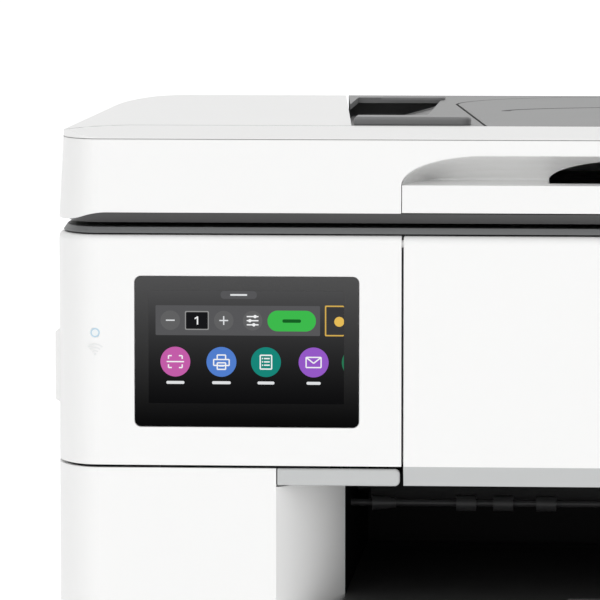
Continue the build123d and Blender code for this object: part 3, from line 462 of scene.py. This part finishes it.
def build_display():
    """The lit page of the touch display, with a painted reflection lighter towards its top: a copy bar on top
    and four round job buttons below.
    """
    low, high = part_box("display_module")
    left, right, bottom, top = low.x, high.x, low.z, high.z
    unit = top - bottom
    black = lit_colour("page_dark", tone(24, 24, 27))
    page, tree, shader = new_finish("page_glow_with_painted_reflection")
    # Painted reflection over the dark backlit page: its glow rises from near black at the foot to grey at the
    # top.
    page_foot, page_head = (0.0028, 0.0028, 0.0032, 1.0), (0.090, 0.090, 0.092, 1.0)
    glow = mix_colour(tree, rise_on_glass(tree, 2.2), page_foot, page_head)
    tree.links.new(glow, shader.inputs["Emission Color"])
    shader.inputs["Emission Strength"].default_value = 1.0
    shader.inputs["Base Color"].default_value = BLACK
    shader.inputs["Specular IOR Level"].default_value = 0.0
    bar_grey = lit_colour("bar_grey", tone(88, 88, 90))
    box_grey = lit_colour("box_dark", tone(58, 58, 60))
    pale = lit_colour("pale_line", tone(226, 228, 230))
    white = lit_colour("symbol_white", tone(245, 246, 247))
    slab("display_page", [round_rect(left, right, bottom, top, 0.2 * MM)], 0, page)

    def at(u, v):
        """Place on the page, u from the left and v from the top, both as shares of its height."""
        return left + u * unit, top - v * unit

    tab_x, tab_z = at(0.80, 0.035)
    slab("pull_tab", [round_rect(tab_x - 0.16 * unit, tab_x + 0.16 * unit, tab_z - 0.035 * unit, top,
                                 0.03 * unit)], 1, bar_grey)
    slab("pull_tab_line", [round_rect(tab_x - 0.075 * unit, tab_x + 0.075 * unit, tab_z - 0.008 * unit,
                                      tab_z + 0.008 * unit, 0.006 * unit)], 2, pale)

    bar_left, bar_low = at(0.062, 0.395)
    bar_right, bar_high = at(1.520, 0.130)
    bar_mid = (bar_low + bar_high) / 2
    slab("copy_bar", [round_rect(bar_left, bar_right, bar_low, bar_high, 0.01 * unit)], 1, bar_grey)
    radius = 0.0867 * unit
    round_grey = lit_colour("round_button_grey", tone(98, 98, 99))
    fewer_x, more_x, options_x = (at(u, 0)[0] for u in (0.193, 0.667, 0.923))
    for name, x in (("fewer", fewer_x), ("more", more_x), ("options", options_x)):
        slab(f"{name}_button", [disc(x, bar_mid, radius)], 2, round_grey)
    slab("fewer_sign", [bar(fewer_x, bar_mid, 0.90 * radius, 0.13 * radius)], 3, pale)
    slab("more_sign", [bar(more_x, bar_mid, 0.90 * radius, 0.13 * radius),
                       bar(more_x, bar_mid + 0.26 * radius, 0.13 * radius, 0.38 * radius),
                       bar(more_x, bar_mid - 0.26 * radius, 0.13 * radius, 0.38 * radius)], 3, pale)
    sliders = []
    for row, knob in ((0.42, 0.25), (0.0, -0.28), (-0.42, 0.12)):
        sliders.append(bar(options_x, bar_mid + row * radius, 1.2 * radius, 0.13 * radius))
        sliders.append(disc(options_x + knob * radius, bar_mid + row * radius, 0.17 * radius, 16))
    slab("options_sliders", sliders[0::2], 3, white)
    slab("options_knobs", sliders[1::2], 4, white)

    count_left, count_low = at(0.323, 0.347)
    count_right, count_high = at(0.535, 0.180)
    slab("count_edge", [round_rect(count_left, count_right, count_low, count_high, 0.012 * unit)], 2,
         lit_colour("count_edge_grey", tone(150, 150, 150)))
    edge = 0.009 * unit
    slab("count_box", [round_rect(count_left + edge, count_right - edge, count_low + edge, count_high - edge,
                                  0.008 * unit)], 3, black)
    digit_x, digit_z, digit = (count_left + count_right) / 2, (count_low + count_high) / 2, 0.036 * unit
    slab("count_digit", [bar(digit_x + 0.15 * digit, digit_z, 0.34 * digit, 2.0 * digit),
                         [(digit_x + 0.05 * digit, digit_z + 1.0 * digit),
                          (digit_x - 0.55 * digit, digit_z + 0.62 * digit),
                          (digit_x - 0.55 * digit, digit_z + 0.28 * digit),
                          (digit_x + 0.05 * digit, digit_z + 0.62 * digit)]],
         4, white)

    pill_left, pill_low = at(1.055, 0.356)
    pill_right, pill_high = at(1.483, 0.172)
    green = lit_colour("copy_green", tone(62, 188, 78))
    slab("copy_button", [round_rect(pill_left, pill_right, pill_low, pill_high, 0.09 * unit, 10)], 2, green)
    word_line("copy_caption", (pill_left + pill_right) / 2, (pill_low + pill_high) / 2, 0.165 * unit,
              0.030 * unit, 3, lit_colour("copy_caption_green", tone(22, 96, 36)))

    amber = lit_colour("notice_amber", tone(216, 176, 84))
    notice_left, notice_low = at(1.563, 0.397)
    _, notice_high = at(1.5, 0.125)
    slab("notice_edge", [round_rect(notice_left, right, notice_low, notice_high, 0.01 * unit)], 1, amber)
    slab("notice_panel", [round_rect(notice_left + 0.012 * unit, right, notice_low + 0.012 * unit,
                                     notice_high - 0.012 * unit, 0.006 * unit)], 2, box_grey)
    sign_x, sign_z = at(1.690, 0.268)
    notice_dot = [(min(x, right), z) for x, z in disc(sign_x, sign_z, 0.044 * unit)]
    slab("notice_dot", [notice_dot], 3, lit_colour("notice_dot_amber", tone(232, 190, 90)))

    jobs = (("scan", 0.160, 0.237, tone(197, 94, 170)), ("print", 0.165, 0.646, tone(82, 127, 207)),
            ("list", 0.150, 1.041, tone(24, 135, 122)), ("send", 0.125, 1.463, tone(150, 90, 200)))
    job_radius, job_v, caption_v = 0.1327 * unit, 0.630, 0.815
    for name, caption, u, colour in jobs:
        x, z = at(u, job_v)
        slab(f"{name}_disc", [disc(x, z, job_radius, 56)], 1, lit_colour(f"{name}_colour", colour))
        slab(f"{name}_symbol", job_symbol(name, x, z, job_radius), 2, white)
        word_line(f"{name}_caption", x, at(u, caption_v)[1], caption * unit, 0.026 * unit, 1, pale)
    next_x, next_z = at(1.845, job_v)
    next_disc = [(min(x, right), z) for x, z in disc(next_x, next_z, job_radius, 56)]
    slab("next_disc", [next_disc], 1, lit_colour("next_colour", tone(40, 120, 84)))


def stroke(points, width, closed=False):
    """Outlines of a line drawn with a pen of that width, one bar for each run from point to point."""
    outlines = []
    ends = list(zip(points, points[1:] + points[:1])) if closed else list(zip(points, points[1:]))
    for (x0, z0), (x1, z1) in ends:
        length = max(((x1 - x0) ** 2 + (z1 - z0) ** 2) ** 0.5, 1e-9)
        nx, nz = -(z1 - z0) / length * width / 2, (x1 - x0) / length * width / 2
        outlines.append([(x0 + nx, z0 + nz), (x0 - nx, z0 - nz), (x1 - nx, z1 - nz), (x1 + nx, z1 + nz)])
    return outlines


def frame_line(left, right, low, high, width):
    return stroke([(left, low), (right, low), (right, high), (left, high)], width, closed=True)


def job_symbol(name, x, z, r):
    """Plain line symbol of one round button, inside a disc of radius r."""
    pen = 0.085 * r
    if name == "scan":
        corners = []
        for side in (-1, 1):
            for rise in (-1, 1):
                tip_x, tip_z = x + side * 0.46 * r, z + rise * 0.40 * r
                corners += stroke([(tip_x - side * 0.22 * r, tip_z), (tip_x, tip_z),
                                   (tip_x, tip_z - rise * 0.22 * r)], pen)
        return corners + [bar(x, z, 1.16 * r, pen)]
    if name == "print":
        return (frame_line(x - 0.28 * r, x + 0.28 * r, z + 0.16 * r, z + 0.46 * r, pen)
                + frame_line(x - 0.52 * r, x + 0.52 * r, z - 0.24 * r, z + 0.16 * r, pen)
                + frame_line(x - 0.28 * r, x + 0.28 * r, z - 0.50 * r, z - 0.06 * r, pen)
                + [bar(x, z - 0.27 * r, 0.34 * r, pen)])
    if name == "list":
        rows = [z + (0.24 - 0.22 * i) * r for i in range(3)]
        return (frame_line(x - 0.38 * r, x + 0.38 * r, z - 0.46 * r, z + 0.46 * r, pen)
                + [bar(x + 0.06 * r, row, 0.38 * r, pen) for row in rows]
                + [bar(x - 0.23 * r, row, 0.08 * r, pen) for row in rows])
    return (frame_line(x - 0.50 * r, x + 0.50 * r, z - 0.34 * r, z + 0.34 * r, pen)
            + stroke([(x - 0.50 * r, z + 0.34 * r), (x, z - 0.06 * r), (x + 0.50 * r, z + 0.34 * r)], pen))


def build_panel_marks():
    """The ring of the status light and the faint wireless symbol under it."""
    low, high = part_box("status_light")
    x, z, radius = (low.x + high.x) / 2, (low.z + high.z) / 2, (high.x - low.x) / 2
    ring = lit_colour("status_ring_blue", tone(194, 220, 236))
    halves = [band_arc(x, z, radius * 0.84, radius * 0.30, start, start + 180) for start in (0, 180)]
    slab("status_ring", halves, 0, ring)
    faint = plastic("printed_grey", tone(228, 229, 229), 0.5)
    mark_z = z - 10.6 * MM
    arcs = [band_arc(x, mark_z, size * MM, 0.7 * MM, 45, 135) for size in (1.8, 3.4, 5.0)]
    dot = disc(x, mark_z + 0.2 * MM, 0.6 * MM, 16)
    slab("wireless_mark", arcs + [dot], 0, faint)


def build_flap_slit_shade():
    """Dark strip along the scribed arc on the feeder flap: painted shade of the slit."""
    low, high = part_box("adf_flap")
    # Painted shade: a dark strip lying almost flush on the flap, standing for the shade inside the slit.
    painted_slit_shade = plastic("slit_painted_shade", tone(30, 30, 31), 0.6, dust=0.0)
    shape = bmesh.new()
    half_width, depth, proud = 2.2 * MM, 0.1 * MM, 0.02 * MM
    run, sweep = 162 * MM, 58 * MM
    from_flap_end, from_lid_front = 189 * MM, 184 * MM
    centre_x, start_y = low.x + from_flap_end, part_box("lid_frame")[0].y + from_lid_front
    down = Vector((0, 0, depth))
    steps = 28
    rows = []
    for step in range(steps + 1):
        angle = pi - pi * 0.5 * step / steps
        across = Vector((cos(angle) / run, sin(angle) / sweep, 0)).normalized() * half_width
        point = Vector((centre_x + run * cos(angle), start_y + sweep * sin(angle), high.z + proud))
        section = (-across, across, across - down, -across - down)
        rows.append([shape.verts.new(point + offset) for offset in section])
    for first, second in zip(rows, rows[1:]):
        for i in range(4):
            j = (i + 1) % 4
            shape.faces.new((first[i], first[j], second[j], second[i]))
    shape.faces.new(rows[0][::-1])
    shape.faces.new(rows[-1])
    bmesh.ops.recalc_face_normals(shape, faces=shape.faces)
    mesh = bpy.data.meshes.new("flap_slit_painted_shade")
    shape.to_mesh(mesh)
    shape.free()
    finish_piece("flap_slit_painted_shade", mesh, painted_slit_shade, "adf_flap")


def build_backing_pad():
    """Foam pad under the lid with softly rounded edges."""
    low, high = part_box("backing_pad")
    shape = bmesh.new()
    bmesh.ops.create_cube(shape, size=1.0)
    size, centre = high - low, (high + low) / 2
    for vertex in shape.verts:
        vertex.co = Vector([centre[i] + vertex.co[i] * size[i] for i in range(3)])
    bmesh.ops.bevel(shape, geom=shape.edges[:], offset=0.8 * MM, segments=4, affect="EDGES", profile=0.5)
    mesh = bpy.data.meshes.new("foam_pad")
    shape.to_mesh(mesh)
    shape.free()
    pad = finish_piece("foam_pad", mesh, FINISHES["foam"], "lid")
    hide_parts("backing_pad")


# ======== floor, light and camera ========

WORLD_LEVEL = 1.03
WORLD_FRONT_GAIN = 0.05
WORLD_SIDE_LOSS = 1.00
BACKGROUND_SEEN = 1.02
FLOOR_GLOW = 0.30
CAMERA_DISTANCE, CAMERA_HEIGHT, CAMERA_LENS = 2.5, 0.5106, 313.1
CAMERA_AIM_X, CAMERA_AIM_HEIGHT = -0.1694, 0.2985


def build_stage():
    """Wide pale floor under the feet, and a white world that is dimmer to the sides."""
    shape = bmesh.new()
    bmesh.ops.create_grid(shape, x_segments=1, y_segments=1, size=40.0)
    mesh = bpy.data.meshes.new("studio_floor")
    shape.to_mesh(mesh)
    shape.free()
    floor = bpy.data.objects.new("studio_floor", mesh)
    bpy.context.scene.collection.objects.link(floor)
    material, tree, shader = new_finish("floor_paper")
    speck = noise(tree, position(tree), 40.0)
    paper = mix_colour(tree, speck, (0.90, 0.90, 0.90, 1.0), (0.92, 0.92, 0.92, 1.0))
    tree.links.new(paper, shader.inputs["Base Color"])
    shader.inputs["Roughness"].default_value = 0.9
    shader.inputs["Emission Color"].default_value = (1.0, 1.0, 1.0, 1.0)
    shader.inputs["Emission Strength"].default_value = FLOOR_GLOW
    mesh.materials.append(material)

    world = bpy.data.worlds.new("studio")
    bpy.context.scene.world = world
    world.use_nodes = True
    tree = world.node_tree
    background = tree.nodes["Background"]
    coords = tree.nodes.new("ShaderNodeTexCoord")
    split = tree.nodes.new("ShaderNodeSeparateXYZ")
    tree.links.new(coords.outputs["Generated"], split.inputs[0])
    front_share = math_node(tree, "MULTIPLY", split.outputs["Y"], -WORLD_FRONT_GAIN)
    sideways = math_node(tree, "POWER", math_node(tree, "ABSOLUTE", split.outputs["X"]), 4.0)
    side_share = math_node(tree, "MULTIPLY", sideways, WORLD_SIDE_LOSS)
    level = math_node(tree, "ADD", math_node(tree, "SUBTRACT", front_share, side_share), WORLD_LEVEL)
    path = tree.nodes.new("ShaderNodeLightPath")
    seen = math_node(tree, "MULTIPLY", path.outputs["Is Camera Ray"], BACKGROUND_SEEN)
    strength = math_node(tree, "MAXIMUM", seen, level)
    tree.links.new(strength, background.inputs["Strength"])
    background.inputs["Color"].default_value = (1.0, 1.0, 1.0, 1.0)


def add_light(name, place, target, size, power):
    """Soft rectangular lamp at a place, turned to a target; size in metres, power in watts."""
    lamp = bpy.data.lights.new(name, "AREA")
    lamp.shape, lamp.size, lamp.size_y, lamp.energy = "RECTANGLE", size[0], size[1], power
    holder = bpy.data.objects.new(name, lamp)
    holder.location = place
    holder.rotation_euler = (Vector(target) - Vector(place)).to_track_quat("-Z", "Y").to_euler()
    bpy.context.scene.collection.objects.link(holder)


def build_camera():
    """Long lens, level with a person seated in front, on the panel end of the front."""
    camera = bpy.data.cameras.new("camera")
    camera.sensor_width = 36.0
    camera.lens = CAMERA_LENS
    camera.clip_end = 100.0
    holder = bpy.data.objects.new("camera", camera)
    holder.location = (0.0, cad_box[0].y - CAMERA_DISTANCE, CAMERA_HEIGHT)
    aim = Vector((CAMERA_AIM_X, cad_box[0].y, CAMERA_AIM_HEIGHT))
    holder.rotation_euler = (aim - holder.location).to_track_quat("-Z", "Y").to_euler()
    bpy.context.scene.collection.objects.link(holder)
    bpy.context.scene.camera = holder


dress_cad_nodes()
build_display()
build_panel_marks()
build_flap_slit_shade()
build_backing_pad()
build_stage()
add_light("key_panel", place=(-0.9, -3.4, 1.9), target=(0.0, 0.0, 0.25), size=(2.6, 1.8), power=4.0)
add_light("low_fill", place=(0.15, -1.9, 0.12), target=(0.05, -0.2, 0.34), size=(2.4, 0.22), power=1.2)
build_camera()
bpy.context.scene.view_settings.view_transform = "Standard"
